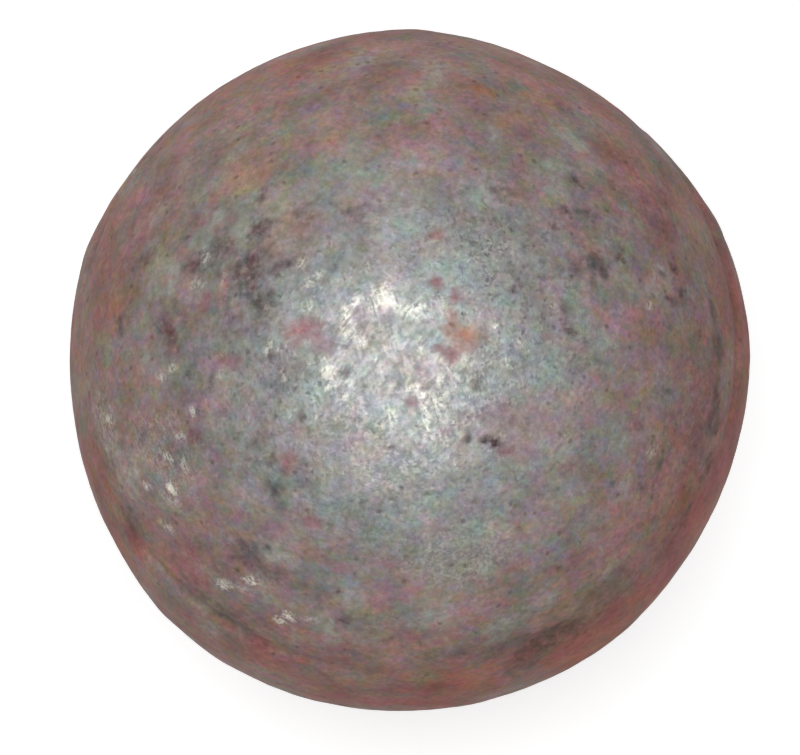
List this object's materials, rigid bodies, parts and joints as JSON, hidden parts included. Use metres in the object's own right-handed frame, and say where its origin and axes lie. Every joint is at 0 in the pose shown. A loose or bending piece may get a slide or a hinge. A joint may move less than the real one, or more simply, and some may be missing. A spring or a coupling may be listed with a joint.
{
  "type": "steel ball",
  "caption": "Solid forged steel ball, worn slightly out of round, with a proud belt around the middle, dents, pits and a rust film.",
  "frame": {"origin": "centre of the ball as forged", "axes": "+Z along the forging axis, through the middles of both die caps; the belt lies around the XY plane"},
  "size_m": [0.0598, 0.06, 0.06],
  "materials": {
    "rusted_steel": "matte"
  },
  "bodies": {
    "root": {"ball": "rusted_steel"}
  },
  "joints": []
}
